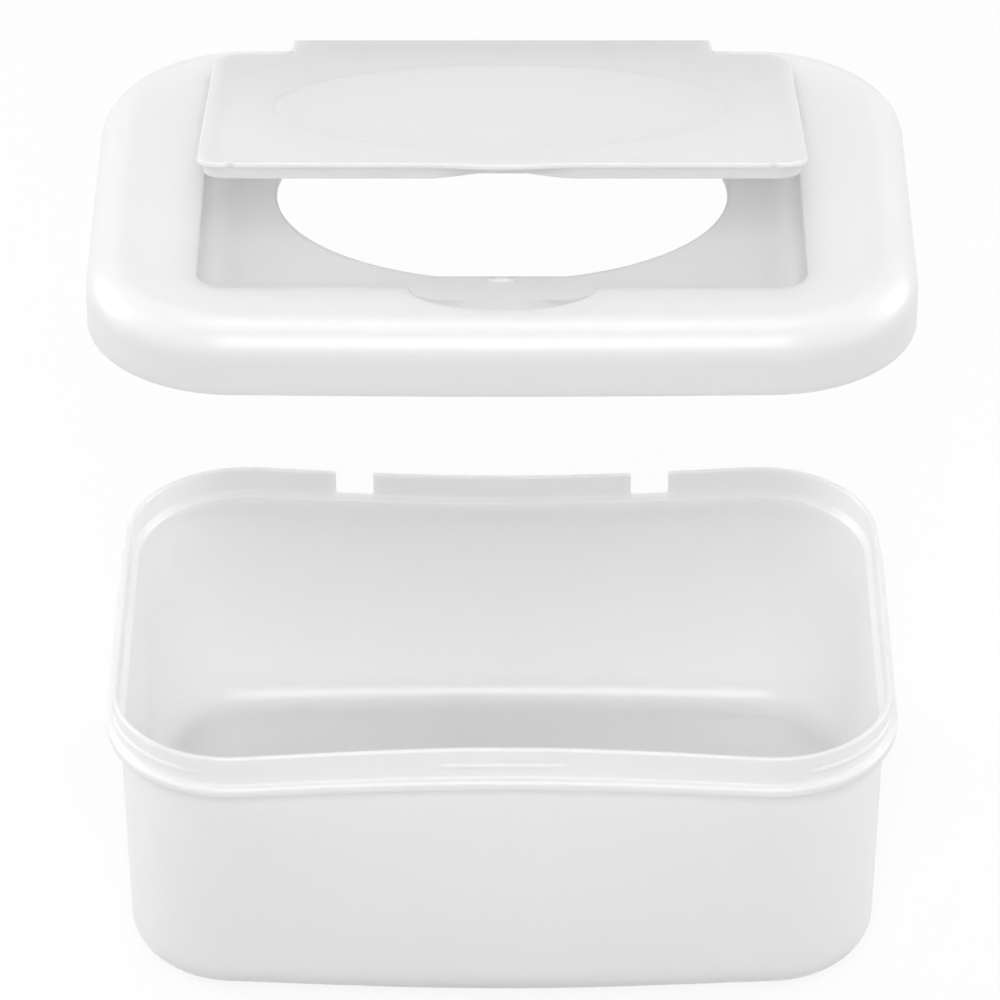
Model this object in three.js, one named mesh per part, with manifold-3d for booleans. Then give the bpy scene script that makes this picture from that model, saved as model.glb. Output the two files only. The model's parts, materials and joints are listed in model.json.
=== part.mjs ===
// Wipes box in white moulded plastic: an open tub, the lid that snaps over its rim,
// and the flap hinged to the lid's rear edge, which closes the hole that the wipes are pulled through.
// Millimetres, +Z up, the front towards -Y. The origin is the middle of the tub's flat underside.
// The lid is held level above the tub, lifted straight up off its seat, with its flap ajar.

import * as THREE from 'three';
import { mergeVertices } from 'three/addons/utils/BufferGeometryUtils.js';
import Module from 'manifold-3d';

const wasm = await Module();
wasm.setup();

// Clearances that the fits share
const slideGap = 0.3; // between a moving piece and what it runs past
const seatGap = 0.3; // between a piece and the face that it comes to rest on

// Tub: body
const tubHeight = 76;
const tubWall = 1.5;
const tubFloor = 1.6;
const rimLength = 198.8; // over the collar, along X
const rimDepth = 139; // over the collar, along Y
const rimCorner = 34; // plan radius of the collar's corners
const baseLength = 191.6;
const baseDepth = 130;
const baseCorner = 26;
const baseFillet = 9.5;
const rimDraw = 6; // the long sides are drawn in this far at the middle of the rim
const baseSwell = 4; // and swell out this far at the base

// Tub: collar, and the lip under it that the lid's edge comes down on
const collarHeight = 8.2; // rim above the lip's top
const collarStep = 1.6; // the collar stands out this far from the body's wall
const lipReach = 1.7; // the lip stands out this far from the collar
const lipThickness = 2.8;
const lipNose = 1.2; // radius of the lip's upper edge
const lipUnderEdge = 0.4;
const lipCove = 0.9; // radius between the lip and the collar

// Tub: snap ribs on the collar, and the notches that keep the lid the right way round
const ribDrop = 4.7; // rim to the ribs' middle
const ribHeight = 1.3;
const ribProud = 0.6;
const frontRibLength = 32;
const cornerRibStart = 44; // the corner ribs run from here along X round the corner
const cornerRibEnd = 38; // to here along Y
const notchSpacing = 79; // between the notches' middles
const notchWidth = 10;
const notchDepth = 7.4;

// Lid
const lidWall = 1.2;
const lidHeight = 18;
const lidShoulder = 9; // radius between the lid's skirt and its top
const lidSwell = 1.2; // the long sides swell out this far at the middle
const lidRaise = 118; // lifted this far above its seat on the tub

// Flap, measured from its hinge line
const flapAjar = 15; // degrees open
const flapLength = 146.6; // along X
const flapReach = 122; // hinge line to the front edge
const flapPlate = 1.3;
const flapEdge = 0.35; // bevel round the plate
const flapFrontCorner = 6;
const flapRearCorner = 8;
const flapGap = 0.5; // between the plate's edge and its recess
const tongueLength = 107; // the hinge tongue's width along X
const tongueReach = 14.5;
const tongueFillet = 2.5;
const hingeInset = 0.5; // hinge line to the lid's rear edge
const ledgeEdge = 1.5; // radius of the ledge's rear edge, which the tongue's end turns over
const fingerWidth = 37; // the lifting edge at the front
const fingerBulge = 2; // the plate bulges forward this far there
const fingerDent = 6; // and the skirt below it curves back this far
const nickOffset = 65; // small nicks in the front edge, from the middle
const nickWidth = 2.4;
const nickDepth = 1.2;
const flapSkirtInset = 1.5;
const flapSkirtWall = 1.2;
const flapSkirtDepth = 3; // below the plate's underside

// Recess that the flap lies in, its dispensing hole and the finger scoop
const recessDepth = 5.8;
const recessCorner = 7;
const recessFillet = 4;
const holeLength = 112;
const holeDepth = 84;
const holeCentre = 4; // the hole's middle along Y
const holeFront = -36.3; // the hole's front edge is straight here
const holeChamfer = 0.8;
const scoopLength = 45;
const scoopReach = 10.5; // the scoop runs this far forward of the recess
const scoopDepth = 5.9;
const nubLength = 7;
const nubRadius = 0.9;
const nubSetback = 2.4; // the catch nub's middle, in front of the hole

// Sealing ring under the flap, and the lugs under the lid that drop into the tub's notches
const sealGap = 0.8;
const sealWall = 1.2;
const sealPlunge = 1; // the closed ring reaches this far into the hole
const lugGap = 0.4;
const lugWall = 1.2;

// Fineness of the curved surfaces
const cornerSteps = 8;
const longSideSteps = 12;
const shortSideSteps = 3;
const filletSteps = 5;
const smallArcSteps = 3;
const holeSteps = 56;
const fingerSteps = 10;
const flapCornerSteps = 6;

// Places that follow from the sizes above
const lipTop = tubHeight - collarHeight;
const lidSeat = lipTop + seatGap;
const skirtGap = ribProud + slideGap; // collar to the lid's skirt, past the ribs
const lidHalfLength = rimLength / 2 + skirtGap + lidWall;
const lidHalfDepth = rimDepth / 2 + skirtGap + lidWall;
const lidCorner = rimCorner + skirtGap + lidWall;
const ledgeTop = lidHeight - flapPlate - seatGap; // what the closed tongue lies on
const hingeY = lidHalfDepth - hingeInset;
const hingeZ = lidHeight - flapPlate; // the plate's underside when closed
const recessFront = hingeY - flapReach - flapGap;
const recessRear = hingeY - tongueReach + flapGap;
const recessHalfLength = flapLength / 2 + flapGap;
const recessFloor = lidHeight - recessDepth;
const ledgeHalfLength = tongueLength / 2 + flapGap;

const { lerp, degToRad } = THREE.MathUtils;
const steps = (count) => Array.from({ length: count }, (_, k) => k);

// Closed geometry to solid and back
function toSolid(geometry) {
  const bare = geometry.clone();
  bare.deleteAttribute('normal');
  bare.deleteAttribute('uv');
  const merged = mergeVertices(bare, 1e-4);
  return new wasm.Manifold(new wasm.Mesh({
    numProp: 3,
    vertProperties: new Float32Array(merged.attributes.position.array),
    triVerts: new Uint32Array(merged.index.array),
  }));
}

function toGeometry(solid) {
  const { vertProperties, triVerts } = solid.getMesh();
  const geometry = new THREE.BufferGeometry();
  geometry.setAttribute('position', new THREE.BufferAttribute(vertProperties, 3));
  geometry.setIndex(new THREE.BufferAttribute(triVerts, 1));
  const flat = geometry.toNonIndexed();
  flat.computeVertexNormals();
  return flat;
}

// Plan outline, anticlockwise from +X: a rounded rectangle whose long sides are drawn in by `draw`
// at the middle, fading to nothing at the ends. A negative draw swells them out.
function outline(halfLength, halfDepth, corner, draw) {
  const arcs = [[1, 1], [-1, 1], [-1, -1], [1, -1]].map(([sideX, sideY], quarter) =>
    steps(cornerSteps + 1).map((k) => {
      const angle = (quarter + k / cornerSteps) * Math.PI / 2;
      return new THREE.Vector2(
        sideX * (halfLength - corner) + corner * Math.cos(angle),
        sideY * (halfDepth - corner) + corner * Math.sin(angle),
      );
    }));
  const points = arcs.flatMap((arc, quarter) => {
    const next = arcs[(quarter + 1) % arcs.length][0];
    const count = quarter % 2 ? shortSideSteps : longSideSteps;
    return [...arc, ...steps(count - 1).map((k) => arc.at(-1).clone().lerp(next, (k + 1) / count))];
  });
  for (const point of points) {
    point.y *= 1 - (draw / halfDepth) * (1 - (point.x / halfLength) ** 2) ** 2;
  }
  return points;
}

// Skin through rings of equally many points, closed by a fan at each end
function loft(rings) {
  const count = rings[0].length;
  const middle = (ring) => ring.reduce((sum, p) => sum.add(p), new THREE.Vector3()).divideScalar(count);
  const vertices = [...rings.flat(), middle(rings[0]), middle(rings.at(-1))];
  const first = rings.length * count;
  const index = [];
  for (const i of steps(count)) {
    const j = (i + 1) % count;
    for (const level of steps(rings.length - 1)) {
      const low = level * count;
      const high = low + count;
      index.push(low + i, low + j, high + j, low + i, high + j, high + i);
    }
    const last = (rings.length - 1) * count;
    index.push(first, j, i, first + 1, last + i, last + j);
  }
  const geometry = new THREE.BufferGeometry().setFromPoints(vertices);
  geometry.setIndex(index);
  return geometry;
}

const atHeight = (points, z) => points.map((p) => new THREE.Vector3(p.x, p.y, z));

// Arc in a profile, as [outset, z] pairs, from one angle to another in degrees
function arc(outset, z, radius, from, to, count) {
  return steps(count + 1).map((k) => {
    const angle = degToRad(lerp(from, to, k / count));
    return [outset + radius * Math.cos(angle), z + radius * Math.sin(angle)];
  });
}

function block(x0, x1, y0, y1, z0, z1) {
  const box = new THREE.BoxGeometry(x1 - x0, y1 - y0, z1 - z0);
  return toSolid(box.translate((x0 + x1) / 2, (y0 + y1) / 2, (z0 + z1) / 2));
}

// Tub. Its section is a list of [outset from the body's wall, z], carried round the plan outline,
// which changes evenly from the swelled base to the drawn-in rim.
function tubLoft(section) {
  return toSolid(loft(section.map(([outset, z]) => {
    const t = z / tubHeight;
    const halfLength = lerp(baseLength / 2, rimLength / 2 - collarStep, t);
    const halfDepth = lerp(baseDepth / 2, rimDepth / 2 - collarStep, t);
    const corner = lerp(baseCorner, rimCorner - collarStep, t);
    const draw = lerp(-baseSwell, rimDraw, t);
    return atHeight(outline(halfLength + outset, halfDepth + outset, corner + outset, draw), z);
  })));
}

function tubOutside() {
  const lipEdge = collarStep + lipReach;
  const lipUnder = lipTop - lipThickness;
  return tubLoft([
    ...arc(-baseFillet, baseFillet, baseFillet, -90, 0, filletSteps),
    [0, lipUnder],
    ...arc(lipEdge - lipUnderEdge, lipUnder + lipUnderEdge, lipUnderEdge, -90, 0, 2),
    ...arc(lipEdge - lipNose, lipTop - lipNose, lipNose, 0, 90, smallArcSteps),
    ...arc(collarStep + lipCove, lipTop + lipCove, lipCove, 270, 180, smallArcSteps).slice(1),
    ...arc(collarStep - tubWall / 2, tubHeight - tubWall / 2, tubWall / 2, 0, 90, 2),
  ]);
}

function tubInside() {
  const inner = baseFillet - tubWall;
  return tubLoft([
    ...arc(-tubWall - inner, tubFloor + inner, inner, -90, 0, filletSteps),
    [-tubWall, lipTop],
    [collarStep - tubWall, lipTop + collarStep],
    ...arc(collarStep - tubWall / 2, tubHeight - tubWall / 2, tubWall / 2, 180, 90, 2),
    [collarStep - tubWall / 2, tubHeight + 1],
  ]);
}

// A rounded band that stands out all round the collar, kept only where the ribs are
function snapRibs() {
  const middle = tubHeight - ribDrop;
  const band = tubLoft([
    [collarStep - tubWall / 2, middle - ribHeight / 2],
    [collarStep + ribProud * 0.7, middle - ribHeight * 0.35],
    [collarStep + ribProud, middle],
    [collarStep + ribProud * 0.7, middle + ribHeight * 0.35],
    [collarStep - tubWall / 2, middle + ribHeight / 2],
  ]);
  const far = rimLength;
  const low = middle - ribHeight;
  const high = middle + ribHeight;
  const spans = [block(-frontRibLength / 2, frontRibLength / 2, -far, far, low, high)];
  for (const sideX of [-1, 1]) {
    for (const sideY of [-1, 1]) {
      const fromX = rimLength / 2 - cornerRibStart / 2;
      const fromY = rimDepth / 2 - cornerRibEnd;
      const [x0, x1] = [sideX * fromX, sideX * far].sort((a, b) => a - b);
      const [y0, y1] = [sideY * fromY, sideY * far].sort((a, b) => a - b);
      spans.push(block(x0, x1, y0, y1, low, high));
    }
  }
  return band.intersect(spans.reduce((all, span) => all.add(span)));
}

function notches() {
  return [-1, 1].map((side) => {
    const middle = side * notchSpacing / 2;
    return block(middle - notchWidth / 2, middle + notchWidth / 2, 0, rimDepth,
      tubHeight - notchDepth, tubHeight + 1);
  });
}

function makeTub() {
  const walled = tubOutside().add(snapRibs()).subtract(tubInside());
  return notches().reduce((tub, notch) => tub.subtract(notch), walled);
}

// Lid, with z 0 at the skirt's bottom edge
const lidOutline = (inset) =>
  outline(lidHalfLength - inset, lidHalfDepth - inset, lidCorner - inset, -lidSwell);

// The lid's outer form moved in by `skin`: straight skirt, round shoulder, flat top
function lidForm(skin, bottom) {
  const shoulder = arc(-lidShoulder, lidHeight - lidShoulder, lidShoulder - skin, 0, 90, filletSteps);
  return toSolid(loft([[-skin, bottom], ...shoulder].map(([outset, z]) => atHeight(lidOutline(-outset), z))));
}

// The hinge ledge: the rear skirt runs straight up to it between the shoulder's two halves
function ledge(skin, bottom) {
  const edge = arc(-ledgeEdge, ledgeTop - ledgeEdge, ledgeEdge - skin, 0, 90, smallArcSteps);
  const upright = toSolid(loft([[-skin, bottom], ...edge].map(([outset, z]) => atHeight(lidOutline(-outset), z))));
  const halfLength = ledgeHalfLength - skin;
  return upright.intersect(block(-halfLength, halfLength, recessRear - lidWall, lidHalfDepth * 2, bottom, lidHeight));
}

// The tongue's way over the ledge, grown by `skin` for the wall under and beside it
function tonguePath(skin) {
  const halfLength = ledgeHalfLength + skin;
  return block(-halfLength, halfLength, recessRear - recessFillet, lidHalfDepth * 2, ledgeTop - skin, lidHeight * 2);
}

// What the lid's top loses at the two corners between recess and ledge, to clear the tongue's fillets
function tongueCorners() {
  const radius = tongueFillet - flapGap;
  const y = recessRear;
  return [-1, 1].map((side) => {
    const x = side * ledgeHalfLength;
    const shape = new THREE.Shape();
    shape.moveTo(x - side, y - 1);
    shape.lineTo(x + side * radius, y - 1);
    shape.absarc(x + side * radius, y + radius, radius, -Math.PI / 2, side > 0 ? -Math.PI : 0, side > 0);
    shape.lineTo(x - side, y + radius);
    const prism = new THREE.ExtrudeGeometry(shape, { depth: lidHeight, bevelEnabled: false, curveSegments: flapCornerSteps });
    return toSolid(prism.translate(0, 0, ledgeTop));
  });
}

// The flap's recess, grown by `skin` for the tray that forms it underneath
function recess(skin, top) {
  const halfDepth = (recessRear - recessFront) / 2;
  const middle = (recessRear + recessFront) / 2;
  const section = arc(-recessFillet, recessFloor + recessFillet, recessFillet + skin, -90, 0, filletSteps);
  return toSolid(loft([...section, [skin, top]].map(([outset, z]) => {
    const plan = outline(recessHalfLength + outset, halfDepth + outset, recessCorner + outset, 0);
    return atHeight(plan.map((p) => new THREE.Vector2(p.x, p.y + middle)), z);
  })));
}

// The dish at the recess's front edge that makes room for a fingertip
function scoop(skin) {
  const ball = new THREE.SphereGeometry(1, 32, 16);
  ball.scale(scoopLength / 2 + skin, scoopReach + skin, scoopDepth + skin);
  return toSolid(ball.translate(0, recessFront, lidHeight));
}

// The hole's outline, grown or shrunk all round: an oval with a straight front edge
function holeOutline(grow) {
  return steps(holeSteps).map((k) => {
    const angle = 2 * Math.PI * k / holeSteps;
    const y = holeCentre + (holeDepth / 2 + grow) * Math.sin(angle);
    return new THREE.Vector2((holeLength / 2 + grow) * Math.cos(angle), Math.max(y, holeFront - grow));
  });
}

function hole() {
  return toSolid(loft([
    atHeight(holeOutline(0), recessFloor - lidWall - 1),
    atHeight(holeOutline(0), recessFloor - holeChamfer),
    atHeight(holeOutline(holeChamfer), recessFloor),
    atHeight(holeOutline(holeChamfer), recessFloor + 1),
  ]));
}

// Catch nub on the recess's floor, just in front of the hole
function nub() {
  const ball = new THREE.SphereGeometry(1, 12, 8);
  ball.scale(nubLength / 2, nubRadius, nubRadius);
  return toSolid(ball.translate(0, holeFront - nubSetback, recessFloor));
}

// Lugs under the ledge, hollow from below, which drop into the tub's notches
function lugs() {
  const bottom = tubHeight - notchDepth + lugGap - lidSeat;
  const halfWidth = notchWidth / 2 - lugGap;
  const offset = notchSpacing / 2;
  const drawn = rimDraw * (1 - (offset / (rimLength / 2)) ** 2) ** 2;
  const front = rimDepth / 2 - drawn - tubWall - lugWall;
  const rear = lidHalfDepth - lidWall / 2;
  return [-offset, offset].map((middle) => block(middle - halfWidth, middle + halfWidth,
    front, rear, bottom, ledgeTop - lidWall / 2).subtract(block(middle - halfWidth + lugWall,
    middle + halfWidth - lugWall, front + lugWall, rear - lidWall / 2, bottom - 1, ledgeTop - lidWall)));
}

function makeLid() {
  const outside = lidForm(0, 0).add(ledge(0, 0));
  const shell = outside.subtract(lidForm(lidWall, -1).add(ledge(lidWall, -1)));
  const tray = recess(lidWall, lidHeight - lidWall / 2).add(scoop(lidWall)).add(tonguePath(lidWall))
    .intersect(outside);
  return [...lugs(), tray].reduce((lid, piece) => lid.add(piece), shell)
    .subtract(recess(0, lidHeight + 1))
    .subtract(scoop(0))
    .subtract(tonguePath(0))
    .subtract(tongueCorners().reduce((both, corner) => both.add(corner)))
    .subtract(hole())
    .add(nub());
}

// Flap, in its own frame: the hinge line is the X axis, the plate's underside is z 0 and its front is -Y
function fingerCurve(depth) {
  return steps(fingerSteps + 1).map((k) => {
    const x = lerp(fingerWidth / 2, -fingerWidth / 2, k / fingerSteps);
    return new THREE.Vector2(x, depth * (1 + Math.cos(2 * Math.PI * x / fingerWidth)) / 2);
  });
}

function plateShape() {
  const half = flapLength / 2;
  const tongue = tongueLength / 2;
  const shape = new THREE.Shape();
  shape.moveTo(-tongue, 0);
  shape.lineTo(tongue, 0);
  shape.absarc(tongue + tongueFillet, -tongueReach + tongueFillet, tongueFillet, Math.PI, 1.5 * Math.PI, false);
  shape.absarc(half - flapRearCorner, -tongueReach - flapRearCorner, flapRearCorner, Math.PI / 2, 0, true);
  shape.absarc(half - flapFrontCorner, -flapReach + flapFrontCorner, flapFrontCorner, 0, -Math.PI / 2, true);
  for (const p of fingerCurve(fingerBulge)) shape.lineTo(p.x, -flapReach - p.y);
  shape.absarc(-half + flapFrontCorner, -flapReach + flapFrontCorner, flapFrontCorner, -Math.PI / 2, -Math.PI, true);
  shape.absarc(-half + flapRearCorner, -tongueReach - flapRearCorner, flapRearCorner, Math.PI, Math.PI / 2, true);
  shape.absarc(-tongue - tongueFillet, -tongueReach + tongueFillet, tongueFillet, -Math.PI / 2, 0, false);
  return shape;
}

function plate() {
  const sheet = new THREE.ExtrudeGeometry(plateShape(), {
    depth: flapPlate - 2 * flapEdge,
    bevelThickness: flapEdge,
    bevelSize: flapEdge,
    bevelOffset: -flapEdge,
    bevelSegments: 1,
    curveSegments: flapCornerSteps,
  });
  return toSolid(sheet.translate(0, 0, flapEdge));
}

// Skirt under the plate's edge, its outline moved in by `inset` and dented behind the lifting edge
function skirtOutline(inset) {
  const half = flapLength / 2 - inset;
  const front = -flapReach + inset;
  const rear = -tongueReach - inset;
  const corner = flapRearCorner - inset;
  const path = new THREE.Path();
  path.absarc(-half + corner, rear - corner, corner, Math.PI / 2, Math.PI, false);
  path.absarc(-half + corner, front + corner, corner, Math.PI, 1.5 * Math.PI, false);
  for (const p of fingerCurve(fingerDent)) path.lineTo(-p.x, front + p.y);
  path.absarc(half - corner, front + corner, corner, -Math.PI / 2, 0, false);
  path.absarc(half - corner, rear - corner, corner, 0, Math.PI / 2, false);
  return path.getPoints(flapCornerSteps);
}

// A wall between two outlines, standing down from the plate's underside
function wallUnderPlate(outer, inner, depth) {
  const shape = new THREE.Shape(outer);
  shape.holes.push(new THREE.Path(inner));
  const wall = new THREE.ExtrudeGeometry(shape, { depth: depth + flapPlate / 2, bevelEnabled: false });
  return toSolid(wall.translate(0, 0, -depth));
}

function sealingRing() {
  const inFlapFrame = (points) => points.map((p) => new THREE.Vector2(p.x, p.y - hingeY));
  const depth = hingeZ - recessFloor + sealPlunge;
  return wallUnderPlate(inFlapFrame(holeOutline(-sealGap)), inFlapFrame(holeOutline(-sealGap - sealWall)), depth);
}

function nicks() {
  return [-nickOffset, nickOffset].map((middle) => {
    const wedge = new THREE.Shape([
      new THREE.Vector2(middle - nickWidth / 2, -flapReach - 1),
      new THREE.Vector2(middle + nickWidth / 2, -flapReach - 1),
      new THREE.Vector2(middle, -flapReach + nickDepth),
    ]);
    return toSolid(new THREE.ExtrudeGeometry(wedge, { depth: flapPlate * 2, bevelEnabled: false }));
  });
}

function makeFlap() {
  const skirt = wallUnderPlate(skirtOutline(flapSkirtInset), skirtOutline(flapSkirtInset + flapSkirtWall),
    flapSkirtDepth);
  return nicks().reduce((flap, nick) => flap.subtract(nick), plate().add(skirt).add(sealingRing()));
}

// The three mouldings
function moulding(name, solid, color) {
  const mesh = new THREE.Mesh(
    toGeometry(solid),
    new THREE.MeshStandardMaterial({ color, roughness: 0.32, metalness: 0 }),
  );
  mesh.name = name;
  return mesh;
}

const tub = moulding('tub', makeTub(), 0xf1eff0);
const lid = moulding('lid', makeLid(), 0xf3f1f2);
const flap = moulding('flap', makeFlap(), 0xf0eeef);
flap.position.set(0, hingeY, hingeZ);
flap.rotation.x = -degToRad(flapAjar);

const lidGroup = new THREE.Group();
lidGroup.position.z = lidSeat + lidRaise;
lidGroup.add(lid, flap);

const box = new THREE.Group();
box.add(tub, lidGroup);
export default box;
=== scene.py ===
import json
import math

import bpy
import numpy as np
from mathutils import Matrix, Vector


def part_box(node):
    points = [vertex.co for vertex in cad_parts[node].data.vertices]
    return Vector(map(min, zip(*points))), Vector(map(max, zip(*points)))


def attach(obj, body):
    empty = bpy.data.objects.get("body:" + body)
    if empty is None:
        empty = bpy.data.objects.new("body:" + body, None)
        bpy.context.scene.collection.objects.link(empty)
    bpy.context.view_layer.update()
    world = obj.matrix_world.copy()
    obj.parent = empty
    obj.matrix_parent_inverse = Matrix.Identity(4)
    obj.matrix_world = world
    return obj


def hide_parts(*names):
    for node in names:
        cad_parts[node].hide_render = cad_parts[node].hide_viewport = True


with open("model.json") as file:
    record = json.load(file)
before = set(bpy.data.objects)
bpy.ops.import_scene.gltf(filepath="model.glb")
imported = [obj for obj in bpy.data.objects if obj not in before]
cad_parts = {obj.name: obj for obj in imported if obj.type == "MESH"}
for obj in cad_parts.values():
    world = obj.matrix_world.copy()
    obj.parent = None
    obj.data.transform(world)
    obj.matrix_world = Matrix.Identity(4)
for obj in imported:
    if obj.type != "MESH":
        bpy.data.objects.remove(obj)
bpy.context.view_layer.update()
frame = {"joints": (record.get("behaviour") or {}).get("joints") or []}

# Wipes box in white moulded plastic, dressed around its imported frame: the tub, the lid held above it, and
# the flap hinged to the lid. Metres, +Z up, the front towards -Y. Sizes are written in millimetres.


# Tub. One thin-walled polypropylene moulding, open at the top, with rounded corners. Its long sides swell
# out at the base and are drawn in at the rim. The lid snaps over a collar with raised ribs and comes down on
# the lip under it, and its two lugs drop into notches in the rear rim.
tub_height = 76.0
tub_wall = 1.5
tub_floor = 1.6
rim_half = np.array([99.4, 69.5])
rim_corner = 34.0
base_half = np.array([95.8, 65.0])
base_corner = 26.0
base_fillet = 9.5
rim_draw = 6.0
base_swell = 4.0
collar_step = 1.6
lip_top = 67.8
lip_reach = 1.7
lip_thickness = 2.8
lip_nose = 1.0
lip_under_edge = 0.4
lip_cove = 0.7
rib_middle = 71.3
rib_height = 1.5
rib_proud = 0.6
front_rib_half = 16.0
corner_rib_start = np.array([77.4, 31.5])
rib_end = 1.6
notch_offset = 39.5
notch_width = 10.0
notch_depth = 7.4
notch_corner = 1.0


def round_stations(long_side, short_side, corner_count=20):
    """Where the columns of a skin lie round a rounded rectangle, anticlockwise from the right-hand end.

    Each column has a place (side_x, side_y) between the corner centres, from -1 to 1, and a turn angle: it
    stays on one corner centre while the angle turns, and runs from centre to centre along the sides.
    """
    turn = np.linspace(0, math.pi / 2, corner_count + 1)
    ones = np.ones_like(turn)
    corners = [(1, 1), (-1, 1), (-1, -1), (1, -1)]
    sides = [(long_side[0], None), (None, short_side[::-1]), (long_side[1], None), (None, short_side)]
    side_x, side_y, angle = [], [], []
    for quarter, (corner, (along_x, along_y)) in enumerate(zip(corners, sides)):
        side_x.append(corner[0] * ones)
        side_y.append(corner[1] * ones)
        angle.append(turn + quarter * math.pi / 2)
        run = along_x if along_y is None else along_y
        side_x.append(run if along_y is None else corner[0] * np.ones_like(run))
        side_y.append(run if along_x is None else corner[1] * np.ones_like(run))
        angle.append(np.full(len(run), (quarter + 1) * math.pi / 2))
    return np.concatenate(side_x), np.concatenate(side_y), np.concatenate(angle)


def inner_run(count, limit=1.0):
    """Even places strictly between -limit and limit."""
    return np.linspace(-limit, limit, count + 2)[1:-1]


def plan(stations, half_x, half_y, corner, draw, x_straight=None):
    """Plan outline at each column: corner centre plus a turning corner radius, then the depth is scaled so
    that the long sides are drawn in by draw at the middle, fading as the square of one minus x squared.

    The sizes may be columns of rings. x_straight fixes how far the straight part of the long sides reaches.
    """
    side_x, side_y, angle = stations
    reach = half_x - corner
    if x_straight is not None:
        reach = np.where(np.abs(side_x) < 1, x_straight, reach)
    x = side_x * reach + corner * np.cos(angle)
    y = side_y * (half_y - corner) + corner * np.sin(angle)
    return x, y * (1 - draw / half_y * (1 - (x / half_x) ** 2) ** 2)


def arc(outset, z, radius, start, end, count):
    """Circular arc in a section, as rows of (outset, z), from one angle to another in degrees."""
    angle = np.radians(np.linspace(start, end, count + 1))
    return np.stack([outset + radius * np.cos(angle), z + radius * np.sin(angle)], 1)


def line(start, end, count):
    """Even steps from one (outset, z) to another, both ends included."""
    return np.linspace(start, end, count + 1)


def skin_mesh(name, x, y, z, caps=()):
    """Closes rings of points into a mesh. x, y and z are grids of ring by column, in millimetres. A cap is
    (ring, flipped): a fan from that ring to its middle. With no caps the last ring meets the first."""
    rings, columns = x.shape
    points = np.stack([x.ravel(), y.ravel(), z.ravel()], 1)
    bands = rings - 1 if caps else rings
    ring, column = np.meshgrid(np.arange(bands), np.arange(columns), indexing="ij")
    here, above = ring * columns, (ring + 1) % rings * columns
    after = (column + 1) % columns
    corners = [here + column, here + after, above + after, above + column]
    faces = np.stack(corners, -1).reshape(-1, 4).tolist()
    here = np.arange(columns)
    following = (here + 1) % columns
    for level, flipped in caps:
        middle = len(points)
        first = (level % rings) * columns
        points = np.vstack([points, points[first:first + columns].mean(0)])
        pair = (following, here) if flipped else (here, following)
        faces += np.stack([first + pair[0], first + pair[1], np.full(columns, middle)], -1).tolist()
    mesh = bpy.data.meshes.new(name)
    mesh.from_pydata((points / 1000).tolist(), [], faces)
    mesh.update()
    return mesh


def add_piece(name, mesh):
    """New object at the origin, with its place in its mesh."""
    piece = bpy.data.objects.new(name, mesh)
    bpy.context.scene.collection.objects.link(piece)
    return piece


def bake_modifiers(piece):
    """Applies the piece's modifiers to its mesh."""
    evaluated = piece.evaluated_get(bpy.context.evaluated_depsgraph_get())
    mesh = bpy.data.meshes.new_from_object(evaluated)
    piece.modifiers.clear()
    piece.data = mesh


def boolean(piece, tool, operation):
    """Cuts the tool from the piece, or joins it to it, and removes the tool."""
    modifier = piece.modifiers.new("cut", "BOOLEAN")
    modifier.operation = operation
    modifier.object = tool
    modifier.solver = "EXACT"
    bake_modifiers(piece)
    bpy.data.objects.remove(tool)


def shade(piece, sharp_angle=35):
    """Smooth faces that meet softly, crisp edges where they turn by more than the angle."""
    piece.data.shade_smooth()
    piece.data.set_sharp_from_angle(angle=math.radians(sharp_angle))


def smooth_step(value):
    """Rises from 0 to 1 as value does, level at both ends."""
    t = np.clip(value, 0, 1)
    return t * t * (3 - 2 * t)


def tub_section():
    """Section of the wall from the middle of the underside, up the outside, over the rim and down the
    inside: straight runs joined by arcs, as (outset from the body's wall, z)."""
    middle_ring, edge_ring = -base_fillet - 12, -base_fillet - 0.8
    lip_edge = collar_step + lip_reach
    lip_under = lip_top - lip_thickness
    under_bevel = 0.25
    rib_low, rib_high = rib_middle - rib_height / 2, rib_middle + rib_height / 2
    half_wall = tub_wall / 2
    step_ease = 0.6
    step_top, step_foot = lip_top + collar_step + step_ease, lip_top - step_ease
    step = line((0, step_top), (0, step_foot), 8)
    step[:, 0] = collar_step * smooth_step((step[:, 1] - lip_top) / collar_step) - tub_wall
    inner = base_fillet - tub_wall
    return np.vstack([
        [(middle_ring, 0), (edge_ring, 0)],
        arc(-base_fillet, base_fillet, base_fillet, -90, 0, 18),
        line((0, base_fillet), (0, lip_under - under_bevel), 20)[1:],
        [(under_bevel, lip_under)],
        arc(lip_edge - lip_under_edge, lip_under + lip_under_edge, lip_under_edge, -90, 0, 5),
        arc(lip_edge - lip_nose, lip_top - lip_nose, lip_nose, 0, 90, 8),
        arc(collar_step + lip_cove, lip_top + lip_cove, lip_cove, 270, 180, 7)[1:],
        line((collar_step, lip_top + lip_cove), (collar_step, rib_low), 4)[1:],
        line((collar_step, rib_low), (collar_step, rib_high), 12)[1:],
        line((collar_step, rib_high), (collar_step, tub_height - half_wall), 4)[1:],
        arc(collar_step - half_wall, tub_height - half_wall, half_wall, 0, 180, 14)[1:],
        line((collar_step - tub_wall, tub_height - half_wall), (collar_step - tub_wall, step_top), 4)[1:],
        step[1:],
        line((-tub_wall, step_foot), (-tub_wall, tub_floor + inner), 20)[1:],
        arc(-tub_wall - inner, tub_floor + inner, inner, 0, -90, 16)[1:],
        [(edge_ring, tub_floor), (middle_ring, tub_floor)],
    ])


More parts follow.
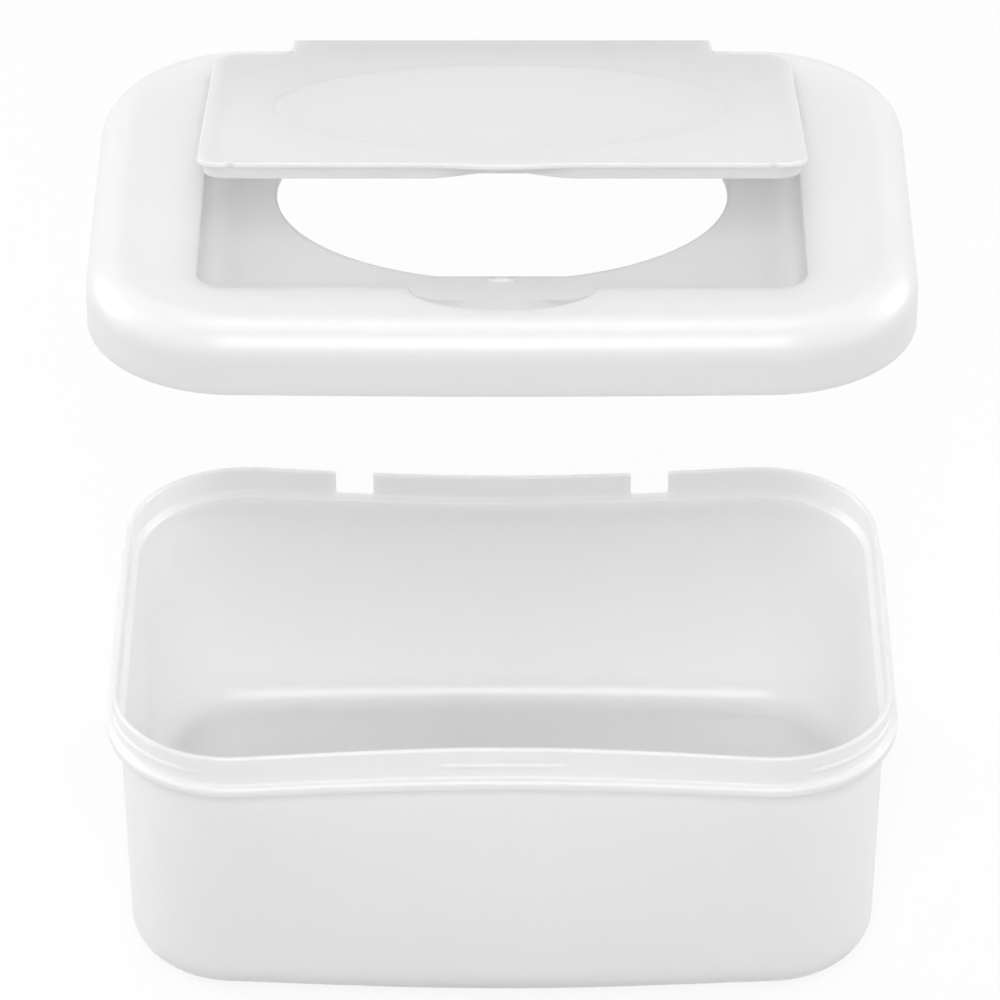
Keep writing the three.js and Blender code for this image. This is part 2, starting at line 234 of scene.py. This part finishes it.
def tub_surface(stations, section):
    """The section carried round the plan, which changes evenly from the swelled base to the drawn-in rim.
    On the collar, half-round ribs stand out across the front and rear middles and round the corners."""
    outset, z = section[:, :1], section[:, 1:]
    t = z / tub_height
    half = base_half[:, None, None] * (1 - t) + (rim_half - collar_step)[:, None, None] * t
    corner = base_corner * (1 - t) + (rim_corner - collar_step) * t
    draw = -base_swell * (1 - t) + rim_draw * t
    x, y = plan(stations, half[0] + outset, half[1] + outset, corner + outset, draw)
    middle = 1 - smooth_step((np.abs(x) - front_rib_half) / rib_end + 1)
    corners = smooth_step((np.abs(x) - corner_rib_start[0]) / rib_end) * smooth_step(
        (np.abs(y) - corner_rib_start[1]) / rib_end)
    bump = np.sqrt(np.clip(1 - ((z - rib_middle) / (rib_height / 2)) ** 2, 0, 1))
    proud = rib_proud * bump * np.maximum(middle, corners) * (outset >= collar_step)
    grown_x, grown_y = plan(stations, half[0] + outset + proud, half[1] + outset + proud,
                            corner + outset + proud, draw)
    return grown_x, grown_y, np.broadcast_to(z, x.shape)


def notch_cutter(name, middle):
    """Square-cornered slot from above with its two lower corners rounded, carried through the rear wall."""
    half = notch_width / 2
    bottom = tub_height - notch_depth
    above = tub_height + 2
    outline = np.vstack([arc(middle - half + notch_corner, bottom + notch_corner, notch_corner, 180, 270, 6),
                         arc(middle + half - notch_corner, bottom + notch_corner, notch_corner, 270, 360, 6),
                         [(middle + half, above), (middle - half, above)]])
    behind, inside = rim_half[1] + 10, rim_half[1] - 25
    shape = (2, len(outline))
    x = np.broadcast_to(outline[:, 0], shape)
    y = np.broadcast_to([[behind], [inside]], shape)
    z = np.broadcast_to(outline[:, 1], shape)
    return add_piece(name, skin_mesh(name, x, y, z, caps=[(0, True), (1, False)]))


def glossy_polypropylene(name, color, roughness=0.3, turned=(0.0, 0.0, 0.0)):
    """White moulded polypropylene: a clean gloss, light that scatters through the thin wall, faint flow
    marks in the colour, a soft unevenness in the gloss, and a barely felt ripple in the surface."""
    scatter_depth = 0.005
    faded = [0.985 * channel for channel in color]
    gloss_spread = 0.03
    material = bpy.data.materials.new(name)
    material.use_nodes = True
    nodes, links = material.node_tree.nodes, material.node_tree.links
    shader = nodes["Principled BSDF"]
    shader.inputs["IOR"].default_value = 1.49
    shader.inputs["Subsurface Weight"].default_value = 1.0
    shader.inputs["Subsurface Radius"].default_value = (1.0, 0.97, 0.98)
    shader.inputs["Subsurface Scale"].default_value = scatter_depth

    place = nodes.new("ShaderNodeTexCoord")
    mapping = nodes.new("ShaderNodeMapping")
    mapping.inputs["Rotation"].default_value = turned
    links.new(place.outputs["Object"], mapping.inputs["Vector"])

    def noise(scale, detail):
        texture = nodes.new("ShaderNodeTexNoise")
        texture.inputs["Scale"].default_value = scale
        texture.inputs["Detail"].default_value = detail
        links.new(mapping.outputs["Vector"], texture.inputs["Vector"])
        return texture.outputs["Fac"]

    tint = nodes.new("ShaderNodeMix")
    tint.data_type = "RGBA"
    tint.inputs["A"].default_value = (*faded, 1)
    tint.inputs["B"].default_value = (*color, 1)
    links.new(noise(scale=14, detail=2), tint.inputs["Factor"])
    links.new(tint.outputs["Result"], shader.inputs["Base Color"])

    gloss = nodes.new("ShaderNodeMapRange")
    gloss.inputs["To Min"].default_value = roughness - gloss_spread
    gloss.inputs["To Max"].default_value = roughness + gloss_spread
    links.new(noise(scale=60, detail=3), gloss.inputs["Value"])
    links.new(gloss.outputs["Result"], shader.inputs["Roughness"])

    bump = nodes.new("ShaderNodeBump")
    bump.inputs["Strength"].default_value = 0.12
    bump.inputs["Distance"].default_value = 0.0002
    links.new(noise(scale=45, detail=2), bump.inputs["Height"])
    links.new(bump.outputs["Normal"], shader.inputs["Normal"])
    return material


tub_stations = round_stations((inner_run(100)[::-1], inner_run(100)), inner_run(50))
tub = add_piece("tub_moulding", skin_mesh("tub_moulding", *tub_surface(tub_stations, tub_section()),
                                          caps=[(0, True), (-1, False)]))
for side in (-1, 1):
    boolean(tub, notch_cutter("notch_cutter", side * notch_offset), "DIFFERENCE")
shade(tub)
tub.data.materials.append(glossy_polypropylene("tub_polypropylene", (0.96, 0.955, 0.958)))
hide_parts("tub")
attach(tub, "tub")


# Lid. One polypropylene moulding: a skirt, a round shoulder and a flat top with a sunk tray, which has an
# oval hole for the wipes, a scoop for a fingertip and a catch nub. At the rear the wall runs straight up to
# a ledge that the hinge tongue lies on. Two lugs, hollow from below, hang under the ledge.
lid_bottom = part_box("lid")[0].z * 1000
lid_half = np.array([101.5, 71.6])
lid_corner = 36.1
lid_swell = 1.2
lid_wall = 1.2
lid_height = 18.0
lid_shoulder = 9.0
lid_edge = 0.4
ledge_half = 54.0
ledge_top = 16.4
ledge_edge = 1.5
recess_half = np.array([73.8, 54.25])
recess_middle = 2.85
recess_front = recess_middle - recess_half[1]
recess_corner = 7.0
recess_fillet = 4.0
recess_floor = 12.2
recess_edge = 0.45
tongue_corner = 2.0
hole_half = np.array([56.0, 42.0])
hole_middle = 4.0
hole_front = -36.3
hole_edge = 0.8
scoop_half = 22.5
scoop_reach = 10.5
scoop_depth = 5.9
nub_half = np.array([3.5, 0.9, 0.9])
nub_setback = 2.4
lug_half_width = 4.6
lug_front = 64.0
lug_bottom = 0.9

# Columns of the lid's skin: on the rear side two lie close together at each end of the ledge, where its
# cheeks stand, and on the front side they crowd towards the ends of the scoop.
straight = lid_half[0] - lid_corner
cheek_split = 0.005
rear_half = np.concatenate([np.linspace(0.7, ledge_half - cheek_split, 40),
                            np.linspace(ledge_half + cheek_split, 56, 6),
                            np.linspace(57.2, straight - 0.7, 7)])
scoop_x = scoop_half * np.sin(np.linspace(-math.pi / 2, math.pi / 2, 41))
front_half = np.linspace(scoop_half + 1, straight - 0.7, 32)
front_x = np.concatenate([-front_half[::-1], scoop_x, front_half])
rear_x = np.concatenate([rear_half[::-1], -rear_half])
lid_stations = round_stations((rear_x / straight, front_x / straight), inner_run(30))
at_rear = (np.abs(lid_stations[0]) < 1) & (lid_stations[1] == 1)
at_front = (np.abs(lid_stations[0]) < 1) & (lid_stations[1] == -1)
on_ledge = at_rear & (np.abs(lid_stations[0]) * straight < ledge_half)


def with_cheeks(half):
    """The lid's columns with those of the rear side spread so that the ledge's cheeks lie at half."""
    side_x, side_y, angle = lid_stations
    known = [-straight, -ledge_half, ledge_half, straight]
    moved = np.interp(side_x * straight, known, [-straight, -half, half, straight]) / straight
    return np.where(at_rear, moved, side_x), side_y, angle


def lid_rings(section, ledge_section, stations=lid_stations):
    """Rings that follow a section of (outset from the skirt, z) round the lid, and the ledge's own section
    where the ledge is."""
    outset = np.where(on_ledge, ledge_section[:, :1], section[:, :1])
    z = np.where(on_ledge, ledge_section[:, 1:], section[:, 1:])
    return *plan(stations, lid_half[0] + outset, lid_half[1] + outset, lid_corner + outset, -lid_swell), z


def scooped(x, y, z, grow):
    """Front points moved out to an ellipsoid centred on the recess's front edge at the lid's top: the reach
    times the root of one minus the squared shares of half length and depth."""
    room = 1 - (x / (scoop_half + grow)) ** 2 - ((lid_height - z) / (scoop_depth + grow)) ** 2
    dish = recess_front - (scoop_reach + grow) * np.sqrt(np.clip(room, 0, None))
    return np.where(at_front & (room > 0), np.minimum(y, dish), y)


def recess_rings(section, ledge_section, grow=0.0, stations=lid_stations):
    """Rings of the recess, as (outset from its wall, z). Past the ends of the ledge the rear wall's upper
    part turns through a quarter circle, and the front wall runs out into the scoop."""
    outset = np.where(on_ledge, ledge_section[:, :1], section[:, :1])
    z = np.where(on_ledge, ledge_section[:, 1:], section[:, 1:])
    half_x, half_y = recess_half[0] + outset, recess_half[1] + outset
    x, y = plan(stations, half_x, half_y, recess_corner + outset, 0, straight)
    y = scooped(x, y + recess_middle, z, np.maximum(outset, 0) if grow == 0 else grow)
    past = np.abs(x) - ledge_half
    turned = tongue_corner - np.sqrt(np.clip(tongue_corner ** 2 - (tongue_corner - past) ** 2, 0, None))
    rounded = at_rear & ~on_ledge & (past < tongue_corner) & (z > ledge_top) & (grow == 0)
    return x, np.where(rounded, y + tongue_corner - turned, y), z


def hole_rings(section, angle):
    """Rings of the hole, as (outset, z): an ellipse with a straight front edge, at each column's angle."""
    outset, z = section[:, :1], section[:, 1:]
    x = (hole_half[0] + outset) * np.cos(angle)
    y = np.maximum(hole_middle + (hole_half[1] + outset) * np.sin(angle), hole_front - outset)
    return x, y, np.broadcast_to(z, x.shape)


def between(outer, inner, count):
    """Rings evenly between the last ring of one set and the first of the next."""
    share = np.linspace(0, 1, count + 2)[1:-1, None]
    return tuple(a[-1] * (1 - share) + b[0] * share for a, b in zip(outer, inner))


def lid_surface():
    """The whole skin as rings: up the skirt, over the shoulder and the top, down the recess, through the
    hole, and back along the underside to the skirt's lower edge."""
    shoulder_foot = lid_height - lid_shoulder
    crossing = math.degrees(math.asin((ledge_top - lid_height + lid_shoulder) / lid_shoulder))
    low_arc = arc(-lid_shoulder, shoulder_foot, lid_shoulder, 0, crossing, 16)
    high_arc = arc(-lid_shoulder, shoulder_foot, lid_shoulder, crossing, 90, 9)[1:]
    skirt = np.vstack([arc(-lid_edge, lid_edge, lid_edge, -90, 0, 4),
                       line((0, lid_edge), (0, shoulder_foot), 6)[1:-1]])
    straight_up = np.vstack([
        line((0, shoulder_foot), (0, ledge_top - ledge_edge), 7)[:-1],
        arc(-ledge_edge, ledge_top - ledge_edge, ledge_edge, 0, 90, 7),
        line((-ledge_edge, ledge_top), (low_arc[-1, 0], ledge_top), 2)[1:]])
    flat = high_arc.copy()
    flat[:, 1] = ledge_top
    outside = lid_rings(np.vstack([skirt, low_arc, high_arc]), np.vstack([skirt, straight_up, flat]))

    ledge_split = 0.01
    rim = arc(recess_edge, lid_height - recess_edge, recess_edge, 90, 180, 5)
    wall = np.vstack([line((0, lid_height - recess_edge), (0, ledge_top + ledge_split), 2)[1:],
                      line((0, ledge_top - ledge_split), (0, recess_floor + recess_fillet), 1),
                      arc(-recess_fillet, recess_floor + recess_fillet, recess_fillet, 0, -90, 14)[1:]])
    low_rim, low_wall = rim.copy(), wall.copy()
    low_rim[:, 1] -= lid_height - ledge_top
    low_wall[:, 1] = np.minimum(low_wall[:, 1], ledge_top - recess_edge)
    sunk = recess_rings(np.vstack([rim, wall]), np.vstack([low_rim, low_wall]))

    angle = np.arctan2((sunk[1][-1] - hole_middle) / hole_half[1], sunk[0][-1] / hole_half[0])
    under_edge, hole_margin = 0.2, 0.5
    hole = hole_rings(np.vstack([
        [(hole_edge + hole_margin, recess_floor)],
        arc(hole_edge, recess_floor - hole_edge, hole_edge, 90, 180, 6),
        arc(under_edge, recess_floor - lid_wall + under_edge, under_edge, 180, 270, 3)]), angle)

    under = recess_floor - lid_wall
    tray_fillet = recess_fillet + lid_wall
    tray = np.vstack([arc(-recess_fillet, under + tray_fillet, tray_fillet, -90, 0, 12),
                      [(lid_wall, lid_height - lid_wall)]])
    low_tray = tray.copy()
    low_tray[:, 1] = np.minimum(tray[:, 1], ledge_top - lid_wall)
    beneath = recess_rings(tray, low_tray, lid_wall, with_cheeks(ledge_half + lid_wall))

    inner_radius = lid_shoulder - lid_wall
    ledge_under = ledge_top - lid_wall
    inner_crossing = math.degrees(math.asin((ledge_under - lid_height + lid_shoulder) / inner_radius))
    high_inner = arc(-lid_shoulder, shoulder_foot, inner_radius, 90, inner_crossing, 8)
    low_inner = arc(-lid_shoulder, shoulder_foot, inner_radius, inner_crossing, 0, 14)[1:]
    flat_inner = high_inner.copy()
    flat_inner[:, 1] = ledge_under
    down = np.vstack([
        line((high_inner[-1, 0], ledge_under), (-ledge_edge, ledge_under), 3)[1:],
        arc(-ledge_edge, ledge_top - ledge_edge, ledge_edge - lid_wall, 90, 0, 4)[1:],
        line((-lid_wall, ledge_top - ledge_edge), (-lid_wall, shoulder_foot), 7)[1:]])
    skirt_inside = np.vstack([line((-lid_wall, shoulder_foot), (-lid_wall, under_edge), 6)[1:],
                              [(-lid_wall + under_edge, 0)]])
    top_inside = lid_rings(high_inner, flat_inner, with_cheeks(ledge_half + lid_wall))
    side_inside = lid_rings(np.vstack([low_inner, skirt_inside]), np.vstack([down, skirt_inside]),
                            with_cheeks(ledge_half - lid_wall))
    sets = [outside, between(outside, sunk, 5), sunk, between(sunk, hole, 5), hole,
            between(hole, beneath, 5), beneath, between(beneath, top_inside, 3), top_inside, side_inside]
    return tuple(np.vstack([part[axis] for part in sets]) for axis in range(3))


def lug_mesh(name, middle):
    """Cup that is open below: rings of a small rounded rectangle up the outside, and up again inside."""
    rear = lid_half[1] - lid_wall / 2
    half_y = (rear - lug_front) / 2
    stations = round_stations((inner_run(2)[::-1], inner_run(2)), inner_run(2), 4)
    corner, bevel = 1.5, 0.3
    section = np.array([
        (0, ledge_top - lid_wall / 2), (0, lug_bottom + bevel), (-bevel, lug_bottom),
        (bevel - lid_wall, lug_bottom), (-lid_wall, lug_bottom + bevel), (-lid_wall, ledge_top - lid_wall)])
    outset, z = section[::-1, :1], section[::-1, 1:]
    x, y = plan(stations, lug_half_width + outset, half_y + outset, corner + outset, 0)
    return skin_mesh(name, x + middle, y + (rear + lug_front) / 2, np.broadcast_to(z, x.shape) + lid_bottom,
                     caps=[(0, True), (-1, False)])


def ball_mesh(name, centre, radii):
    """Ellipsoid: rings of latitude, each a circle scaled by the radii."""
    latitude = np.linspace(-math.pi / 2, math.pi / 2, 14)[1:-1, None]
    longitude = np.linspace(0, 2 * math.pi, 32, endpoint=False)
    x = centre[0] + radii[0] * np.cos(latitude) * np.cos(longitude)
    y = centre[1] + radii[1] * np.cos(latitude) * np.sin(longitude)
    z = centre[2] + radii[2] * np.sin(latitude) * np.ones_like(longitude)
    return skin_mesh(name, x, y, z, caps=[(0, True), (-1, False)])


x, y, z = lid_surface()
lid = add_piece("lid_moulding", skin_mesh("lid_moulding", x, y, z + lid_bottom))
nub_centre = (0, hole_front - nub_setback, lid_bottom + recess_floor)
boolean(lid, add_piece("catch_nub", ball_mesh("catch_nub", nub_centre, nub_half)), "UNION")
for side in (-1, 1):
    boolean(lid, add_piece("lug", lug_mesh("lug", side * notch_offset)), "UNION")
shade(lid)
lid.data.materials.append(glossy_polypropylene("lid_polypropylene", (0.96, 0.955, 0.958)))
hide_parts("lid")
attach(lid, "lid")


# Flap. A plate moulded with the lid and joined to it by a thin living hinge along its tongue. It has a
# lifting edge and two nicks at the front, a skirt under its edge, and an oval ring that closes the hole. The
# ring has drawn a faint oval sink line in the plate above it.
hinge = np.array(next(j for j in frame["joints"] if j["name"] == "flap_hinge")["pos_m"]) * 1000
flap_ajar = math.radians(15)
flap_half = 73.3
flap_reach = 122.0
flap_plate = 1.3
flap_edge = 0.35
flap_front_corner = 6.0
flap_rear_corner = 8.0
tongue_half = 53.5
tongue_reach = 14.5
tongue_fillet = 1.2
finger_width = 37.0
finger_bulge = 2.0
finger_dent = 6.0
nick_offset = 65.0
nick_half = 1.2
nick_depth = 1.2
skirt_inset = 1.5
skirt_wall = 1.2
skirt_depth = 3.0
seal_gap = 0.8
seal_wall = 1.2
seal_depth = 5.5
sink_width = 2.4
sink_depth = 0.12
flap_centre = hole_middle - hinge[1]


def turn(centre_x, centre_y, radius, start, end, count=10):
    """Circular arc in the plate's plane, from one angle to another in degrees."""
    return arc(centre_x, centre_y, radius, start, end, count)


def finger_curve(front, depth, count=36):
    """Front edge swung forward by depth, as half of one plus a cosine across the finger's width."""
    x = np.linspace(-finger_width / 2, finger_width / 2, count + 1)
    return np.stack([x, front + depth * (1 + np.cos(2 * math.pi * x / finger_width)) / 2], 1)


def nick(middle, depth):
    """Small notch in the front edge, with straight flanks."""
    return [(middle - nick_half, -flap_reach), (middle, depth - flap_reach),
            (middle + nick_half, -flap_reach)]


def plate_outline(depth):
    """Plate with its tongue and nicks this deep, anticlockwise from the tongue's right-hand end: corners as
    arcs, edges straight."""
    shoulder = -tongue_reach - flap_rear_corner
    side = flap_half - flap_rear_corner
    front = flap_half - flap_front_corner
    low = -flap_reach + flap_front_corner
    return np.vstack([
        line((tongue_half, 0), (-tongue_half, 0), 40)[:-1],
        line((-tongue_half, 0), (-tongue_half, tongue_fillet - tongue_reach), 8)[:-1],
        turn(-tongue_half - tongue_fillet, tongue_fillet - tongue_reach, tongue_fillet, 0, -90),
        turn(-side, shoulder, flap_rear_corner, 90, 180),
        line((-flap_half, shoulder), (-flap_half, low), 40)[1:-1],
        turn(-front, low, flap_front_corner, 180, 270),
        nick(-nick_offset, depth),
        line((-nick_offset + nick_half, -flap_reach), (-finger_width / 2, -flap_reach), 24)[1:-1],
        finger_curve(-flap_reach, -finger_bulge),
        line((finger_width / 2, -flap_reach), (nick_offset - nick_half, -flap_reach), 24)[1:-1],
        nick(nick_offset, depth),
        turn(front, low, flap_front_corner, 270, 360),
        line((flap_half, low), (flap_half, shoulder), 40)[1:-1],
        turn(side, shoulder, flap_rear_corner, 0, 90),
        turn(tongue_half + tongue_fillet, tongue_fillet - tongue_reach, tongue_fillet, 270, 180),
        line((tongue_half, tongue_fillet - tongue_reach), (tongue_half, 0), 8)[1:-1],
    ])


def skirt_outline(inset):
    """Rounded rectangle inside the plate's edge, dented behind the lifting edge."""
    half = flap_half - inset
    front = -flap_reach + inset
    rear = -tongue_reach - inset
    corner = flap_rear_corner - inset
    return np.vstack([
        turn(half - corner, rear - corner, corner, 0, 90),
        turn(corner - half, rear - corner, corner, 90, 180),
        turn(corner - half, front + corner, corner, 180, 270), finger_curve(front, finger_dent),
        turn(half - corner, front + corner, corner, 270, 360)])


def oval_outline(outset):
    """The hole's outline in the plate's plane, anticlockwise."""
    angle = np.linspace(0, 2 * math.pi, 241)[:-1]
    x, y, _ = hole_rings(np.array([(outset, 0.0)]), angle)
    return np.stack([x[0], y[0] - hinge[1]], 1)


def inset_outline(points, inset):
    """Moves each point inwards along the outline's normal, a quarter turn from the way round it."""
    way = np.roll(points, -1, 0) - np.roll(points, 1, 0)
    way /= np.linalg.norm(way, axis=1, keepdims=True)
    return points + inset * np.stack([-way[:, 1], way[:, 0]], 1)


def toward(points, bearing):
    """Where rays from the oval's centre, at these bearings, cross an outline given as points, with more
    points filled in along its straight runs."""
    run = np.linspace(0, 1, 40, endpoint=False)[:, None]
    filled = points[:, None] + run * (np.roll(points, -1, 0) - points)[:, None]
    offset = filled.reshape(-1, 2) - (0, flap_centre)
    angle = np.arctan2(offset[:, 1], offset[:, 0])
    order = np.argsort(angle)
    reach = np.interp(bearing, angle[order], np.linalg.norm(offset, axis=1)[order], period=2 * math.pi)
    return np.stack([reach * np.cos(bearing), flap_centre + reach * np.sin(bearing)], 1)


def flap_surface():
    """Rings about the oval's centre: from the middle of the underside outwards over the ring and the skirt,
    round the plate's edge, and back across the top with its sink line."""
    edge, plain_edge = plate_outline(nick_depth), plate_outline(0)
    bearing = np.arctan2(plain_edge[:, 1] - flap_centre, plain_edge[:, 0])
    ring_outer, ring_inner = -seal_gap, -seal_gap - seal_wall
    skirt_outer, skirt_inner = skirt_inset, skirt_inset + skirt_wall
    soft, crisp = 0.3, 0.02
    rings = []

    def add(points, z):
        rings.append(np.column_stack([points, np.full(len(points), z)]))

    def add_shares(outline, z, shares):
        for share in shares:
            add((0, flap_centre) + (outline - (0, flap_centre)) * share, z)

    def oval(outset):
        return toward(oval_outline(outset), bearing)

    def skirt(inset):
        return toward(skirt_outline(inset), bearing)

    add_shares(oval(ring_inner), 0.0, (0.2, 0.5, 0.8, 0.97))
    add(oval(ring_inner), -soft)
    add(oval(ring_inner), soft - seal_depth)
    add(oval(ring_inner + soft), -seal_depth)
    add(oval(ring_outer - soft), -seal_depth)
    add(oval(ring_outer), soft - seal_depth)
    add(oval(ring_outer), -soft)
    add(oval(ring_outer + soft), 0.0)
    add(skirt(skirt_inner + soft), 0.0)
    add(skirt(skirt_inner), -soft)
    add(skirt(skirt_inner), soft - skirt_depth)
    add(skirt(skirt_inner - soft), -skirt_depth)
    add(skirt(skirt_outer + soft), -skirt_depth)
    add(skirt(skirt_outer), soft - skirt_depth)
    add(skirt(skirt_outer), -crisp)
    for inset, z in arc(0, flap_edge, flap_edge, -90, 0, 4):
        add(inset_outline(edge, flap_edge - inset), z)
    for inset, z in arc(0, flap_plate - flap_edge, flap_edge, 0, 90, 5):
        add(inset_outline(edge, flap_edge - inset), z)
    top_edge = inset_outline(edge, flap_edge + soft)
    add(top_edge, flap_plate)
    oval_edge = oval(sink_width / 2)
    for share in (0.3, 0.6, 0.85):
        add(top_edge * (1 - share) + oval_edge * share, flap_plate)
    for across in np.linspace(-1, 1, 13):
        sink = sink_depth * (1 + math.cos(math.pi * across)) / 2
        add(oval(-across * sink_width / 2), flap_plate - sink)
    add_shares(oval(-sink_width / 2), flap_plate, (0.85, 0.6, 0.35, 0.15))
    grid = np.stack(rings)
    level = grid[..., 1] * math.cos(flap_ajar) + grid[..., 2] * math.sin(flap_ajar)
    raised = grid[..., 2] * math.cos(flap_ajar) - grid[..., 1] * math.sin(flap_ajar)
    return grid[..., 0], hinge[1] + level, hinge[2] + raised


flap = add_piece("flap_moulding", skin_mesh("flap_moulding", *flap_surface(), caps=[(0, True), (-1, False)]))
shade(flap)
# Painted shade: the flap is the same white polypropylene as the lid, but its colour is set darker to stand
# in for the lower light on the tilted plate.
flap.data.materials.append(
    glossy_polypropylene("flap_polypropylene", (0.75, 0.745, 0.748), 0.36, (-flap_ajar, 0, 0)))
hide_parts("flap")
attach(flap, "flap")


# Living hinge. The web left thin along the hinge line where lid and flap were moulded in one. On the real
# box it bends as the flap lifts;
# here it is a thin straight rod that goes with the lid and lies on the line itself, so it stays between the
# two at every angle.
web_radius = 0.34
web_half = 52.5
web_turn = np.linspace(0, 2 * math.pi, 16, endpoint=False)
web_x = np.array([[-web_half], [web_half]]) * np.ones_like(web_turn)
web_y = hinge[1] + web_radius * np.cos(web_turn) * np.ones_like(web_x)
web_z = hinge[2] + web_radius * np.sin(web_turn) * np.ones_like(web_x)
web = add_piece("hinge_web", skin_mesh("hinge_web", web_x, web_y, web_z, caps=[(0, True), (-1, False)]))
shade(web)
web.data.materials.append(bpy.data.materials["lid_polypropylene"])
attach(web, "lid")


# Setting: a plain floor that shows white to the camera and keeps the object's faint shadow, a white sky, and
# large soft lamps overhead, in front and at both sides, as for a catalogue picture. To the light that falls
# on the object, floor and sky are greyer than they look, so that its white shows against them.
def soft_lamp(name, place, aim, size, power):
    """Square area lamp at place, turned to face aim."""
    data = bpy.data.lights.new(name, "AREA")
    data.size = size
    data.energy = power
    lamp = bpy.data.objects.new(name, data)
    lamp.location = place
    way = np.array(aim) - np.array(place)
    yaw = math.atan2(way[1], way[0])
    pitch = math.atan2(math.hypot(way[0], way[1]), -way[2])
    lamp.rotation_euler = (pitch, 0, yaw - math.pi / 2)
    bpy.context.scene.collection.objects.link(lamp)


def seen_directly(nodes, links):
    """Socket that is 1 where the camera, a mirror image or a clear body shows the surface, and else 0."""
    light_path = nodes.new("ShaderNodeLightPath")
    seen = light_path.outputs["Is Camera Ray"]
    for ray in ("Is Glossy Ray", "Is Transmission Ray"):
        either = nodes.new("ShaderNodeMath")
        either.operation = "MAXIMUM"
        links.new(seen, either.inputs[0])
        links.new(light_path.outputs[ray], either.inputs[1])
        seen = either.outputs[0]
    return seen


def scaled(nodes, links, socket, factor, base):
    """Socket that holds base plus factor times this one."""
    sum_node = nodes.new("ShaderNodeMath")
    sum_node.operation = "MULTIPLY_ADD"
    links.new(socket, sum_node.inputs[0])
    sum_node.inputs[1].default_value = factor
    sum_node.inputs[2].default_value = base
    return sum_node.outputs[0]


floor_mesh = bpy.data.meshes.new("floor")
floor_half = 6.0
floor_mesh.from_pydata([(-floor_half, -floor_half, 0), (floor_half, -floor_half, 0),
                        (floor_half, floor_half, 0), (-floor_half, floor_half, 0)], [], [(0, 1, 2, 3)])
floor = add_piece("floor", floor_mesh)
paper = bpy.data.materials.new("white_paper")
paper.use_nodes = True
paper_nodes, paper_links = paper.node_tree.nodes, paper.node_tree.links
paper_shader = paper_nodes["Principled BSDF"]
paper_shader.inputs["Roughness"].default_value = 0.8
paper_seen = seen_directly(paper_nodes, paper_links)
bounce_grey, seen_grey = 0.55, 0.95
paper_grey = scaled(paper_nodes, paper_links, paper_seen, seen_grey - bounce_grey, bounce_grey)
paper_links.new(paper_grey, paper_shader.inputs["Base Color"])
white = paper_nodes.new("ShaderNodeEmission")
blend = paper_nodes.new("ShaderNodeMixShader")
plain_white_share = 0.85
paper_links.new(scaled(paper_nodes, paper_links, paper_seen, plain_white_share, 0), blend.inputs["Fac"])
paper_links.new(paper_shader.outputs["BSDF"], blend.inputs[1])
paper_links.new(white.outputs["Emission"], blend.inputs[2])
paper_links.new(blend.outputs["Shader"], paper_nodes["Material Output"].inputs["Surface"])
floor.data.materials.append(paper)

world = bpy.data.worlds.new("studio")
bpy.context.scene.world = world
world.use_nodes = True
sky, sky_links = world.node_tree.nodes, world.node_tree.links
sky["Background"].inputs["Color"].default_value = (1, 1, 1, 1)
sky_light, sky_seen = 0.36, 1.0
sky_strength = scaled(sky, sky_links, seen_directly(sky, sky_links), sky_seen - sky_light, sky_light)
sky_links.new(sky_strength, sky["Background"].inputs["Strength"])
lamp_size = 0.8
for name, place, aim_height, power in (("left_lamp", (-1.25, 0.4, 0.55), 0.08, 8),
                                       ("right_lamp", (1.25, 0.4, 0.55), 0.08, 6.5),
                                       ("front_lamp", (0, -1.25, 1.1), 0.1, 12),
                                       ("top_lamp", (0, 0.1, 1.6), 0.1, 5)):
    soft_lamp(name, place, (0, 0, aim_height), lamp_size, power)

# Camera in front of the box and 33 degrees above it, far off, so that the tub and the lid over it show
# nearly the same slope.
camera_raise = math.radians(33.1)
camera_distance = 1.6
camera_aim = np.array([0.0, 0.0, 0.11])
focal_in_frames = 6.246
frame_centre = np.array([502.1, 497.5])
camera_data = bpy.data.cameras.new("camera")
camera_data.sensor_width = 36.0
camera_data.lens = focal_in_frames * camera_data.sensor_width
frame_size = 1000
camera_data.shift_x = (frame_size / 2 - frame_centre[0]) / frame_size
camera_data.shift_y = (frame_centre[1] - frame_size / 2) / frame_size
camera = bpy.data.objects.new("camera", camera_data)
camera_way = np.array([0, -math.cos(camera_raise), math.sin(camera_raise)])
camera.location = camera_aim + camera_distance * camera_way
camera.rotation_euler = (math.pi / 2 - camera_raise, 0, 0)
bpy.context.scene.collection.objects.link(camera)
bpy.context.scene.camera = camera
bpy.context.scene.view_settings.view_transform = "Standard"
